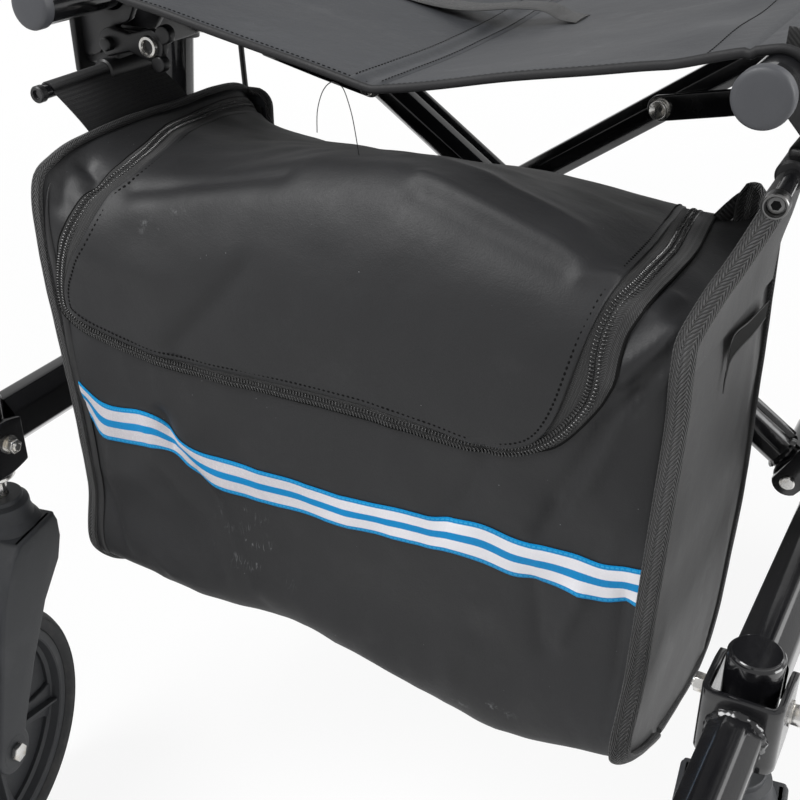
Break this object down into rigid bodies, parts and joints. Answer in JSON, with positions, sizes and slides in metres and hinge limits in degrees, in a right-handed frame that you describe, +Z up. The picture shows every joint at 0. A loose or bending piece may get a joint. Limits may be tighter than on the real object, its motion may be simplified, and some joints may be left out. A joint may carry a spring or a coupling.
{
  "type": "four-wheel rollator",
  "caption": "Side-folding walking frame on wheels, with a fabric seat over crossed struts, a zipped bag in front, sliding handles and brakes on the rear tyres.",
  "frame": {"origin": "on the floor under the middle of the frame's bounding box, with all four wheels down", "axes": "+X towards the user's left hand, +Y to the rear, where the user walks, +Z up"},
  "size_m": [0.63, 0.7452, 0.9505],
  "materials": {
    "frame_paint": "gloss black enamel on flat-sided and round tube",
    "cast_black": "satin black casting",
    "moulded_plastic": "fine-grained dark grey moulding",
    "bright_zinc": "bright zinc-plated steel",
    "tyre_rubber": "dusty dark grey tyre rubber",
    "grip_rubber": "soft black grip rubber",
    "coated_fabric": "matt black coated bag cloth with a five-band ribbon in blue, grey and white",
    "seat_fabric": "dark grey coated seat cloth",
    "cable_sleeve": "black cable sleeve"
  },
  "bodies": {
    "side_frame_left": {"lower_rail_left": "frame_paint", "upright_left": "frame_paint", "rear_axle_left": "bright_zinc", "caster_head_left": "cast_black", "clevis_left": "frame_paint", "clevis_bolt_left": "bright_zinc", "front_stub_tube_left": "frame_paint", "seat_bracket_left": "cast_black", "bag_hanger_rod_left": "frame_paint", "foot_pin_left": "bright_zinc", "brake_cable_left": "cable_sleeve", "storage_bag": "coated_fabric"},
    "strut_right": {"cross_arm_right": "frame_paint", "seat_rail_right": "frame_paint", "seat_rail_cap_right": "moulded_plastic", "link_plate_right": "frame_paint", "brace_rod": "frame_paint", "cross_bolt": "bright_zinc", "seat": "seat_fabric"},
    "strut_left": {"cross_arm_left": "frame_paint", "seat_rail_left": "frame_paint", "seat_rail_cap_left": "moulded_plastic", "link_plate_left": "frame_paint"},
    "side_frame_right": {"lower_rail_right": "frame_paint", "upright_right": "frame_paint", "rear_axle_right": "bright_zinc", "caster_head_right": "cast_black", "clevis_right": "frame_paint", "clevis_bolt_right": "bright_zinc", "front_stub_tube_right": "frame_paint", "seat_bracket_right": "cast_black", "bag_hanger_rod_right": "frame_paint", "foot_pin_right": "bright_zinc", "brake_cable_right": "cable_sleeve"},
    "caster_left": {"caster_fork_left": "moulded_plastic", "caster_stem_left": "bright_zinc", "front_axle_left": "bright_zinc"},
    "caster_right": {"caster_fork_right": "moulded_plastic", "caster_stem_right": "bright_zinc", "front_axle_right": "bright_zinc"},
    "front_wheel_left": {"front_wheel_left_hub": "moulded_plastic", "front_wheel_left_tyre": "tyre_rubber"},
    "front_wheel_right": {"front_wheel_right_hub": "moulded_plastic", "front_wheel_right_tyre": "tyre_rubber"},
    "rear_wheel_left": {"rear_wheel_left_hub": "moulded_plastic", "rear_wheel_left_tyre": "tyre_rubber"},
    "rear_wheel_right": {"rear_wheel_right_hub": "moulded_plastic", "rear_wheel_right_tyre": "tyre_rubber"},
    "handle_left": {"handle_tube_left": "frame_paint", "grip_left": "grip_rubber", "brake_housing_left": "moulded_plastic"},
    "handle_right": {"handle_tube_right": "frame_paint", "grip_right": "grip_rubber", "brake_housing_right": "moulded_plastic"},
    "brake_lever_left": {"brake_lever_left": "cast_black"},
    "brake_lever_right": {"brake_lever_right": "cast_black"},
    "height_knob_left": {"height_knob_left": "moulded_plastic"},
    "height_knob_right": {"height_knob_right": "moulded_plastic"},
    "brake_left": {"brake_shoe_left": "cast_black"},
    "brake_right": {"brake_shoe_right": "cast_black"}
  },
  "joints": [
    {"name": "fold", "type": "hinge", "parent": "side_frame_left", "child": "strut_right", "pos_m": [0.224, 0.07915, 0.291], "axis": [0, 1, 0], "range_deg": [0, 35], "deforming": ["seat", "storage_bag"]},
    {"name": "fold_strut_left", "type": "hinge", "parent": "strut_right", "child": "strut_left", "pos_m": [0, 0.07915, 0.4453], "axis": [0, 1, 0], "range_deg": [-70, 0]},
    {"name": "fold_side_frame_right", "type": "hinge", "parent": "strut_left", "child": "side_frame_right", "pos_m": [-0.224, 0.07915, 0.291], "axis": [0, 1, 0], "range_deg": [0, 35]},
    {"name": "caster_swivel_left", "type": "hinge", "parent": "side_frame_left", "child": "caster_left", "pos_m": [0.257, -0.2006, 0.27], "axis": [0, 0, 1], "continuous": true},
    {"name": "caster_swivel_right", "type": "hinge", "parent": "side_frame_right", "child": "caster_right", "pos_m": [-0.257, -0.2006, 0.27], "axis": [0, 0, 1], "continuous": true},
    {"name": "front_wheel_spin_left", "type": "hinge", "parent": "caster_left", "child": "front_wheel_left", "pos_m": [0.26702, -0.2719, 0.1], "axis": [0.9903, 0.1392, 0], "continuous": true},
    {"name": "front_wheel_spin_right", "type": "hinge", "parent": "caster_right", "child": "front_wheel_right", "pos_m": [-0.24326, -0.27128, 0.1], "axis": [0.9816, 0.1908, 0], "continuous": true},
    {"name": "rear_wheel_spin_left", "type": "hinge", "parent": "side_frame_left", "child": "rear_wheel_left", "pos_m": [0.2935, 0.2719, 0.1], "axis": [1, 0, 0], "continuous": true},
    {"name": "rear_wheel_spin_right", "type": "hinge", "parent": "side_frame_right", "child": "rear_wheel_right", "pos_m": [-0.2935, 0.2719, 0.1], "axis": [1, 0, 0], "continuous": true},
    {"name": "handle_slide_left", "type": "slide", "parent": "side_frame_left", "child": "handle_left", "axis": [0, 0.1387, 0.9903], "range_m": [-0.1, 0.025], "deforming": ["brake_cable_left"]},
    {"name": "handle_slide_right", "type": "slide", "parent": "side_frame_right", "child": "handle_right", "axis": [0, 0.1387, 0.9903], "range_m": [-0.1, 0.025], "deforming": ["brake_cable_right"]},
    {"name": "height_knob_turn_left", "type": "hinge", "parent": "side_frame_left", "child": "height_knob_left", "pos_m": [0.2713, 0.06583, 0.745], "axis": [1, 0, 0], "range_deg": [0, 360]},
    {"name": "height_knob_turn_right", "type": "hinge", "parent": "side_frame_right", "child": "height_knob_right", "pos_m": [-0.2713, 0.06583, 0.745], "axis": [-1, 0, 0], "range_deg": [0, 360]},
    {"name": "brake_lever_squeeze_left", "type": "hinge", "parent": "handle_left", "child": "brake_lever_left", "pos_m": [0.257, 0.1549, 0.902], "axis": [1, 0, 0], "range_deg": [0, 14], "stiffness_Nm_per_rad": 1.5, "springref_deg": -17.19},
    {"name": "brake_lever_squeeze_right", "type": "hinge", "parent": "handle_right", "child": "brake_lever_right", "pos_m": [-0.257, 0.1549, 0.902], "axis": [1, 0, 0], "range_deg": [0, 14], "stiffness_Nm_per_rad": 1.5, "springref_deg": -17.19},
    {"name": "brake_shoe_press_left", "type": "hinge", "parent": "side_frame_left", "child": "brake_left", "pos_m": [0.2716, 0.1892, 0.2515], "axis": [-1, 0, 0], "range_deg": [0, 1.68]},
    {"name": "brake_shoe_press_right", "type": "hinge", "parent": "side_frame_right", "child": "brake_right", "pos_m": [-0.2716, 0.1892, 0.2515], "axis": [-1, 0, 0], "range_deg": [0, 1.68]}
  ],
  "couplings": [
    {"joint": "fold_strut_left", "follows": "fold", "ratio": -2},
    {"joint": "fold_side_frame_right", "follows": "fold", "ratio": 1},
    {"joint": "brake_shoe_press_left", "follows": "brake_lever_squeeze_left", "ratio": 0.12},
    {"joint": "brake_shoe_press_right", "follows": "brake_lever_squeeze_right", "ratio": 0.12}
  ]
}
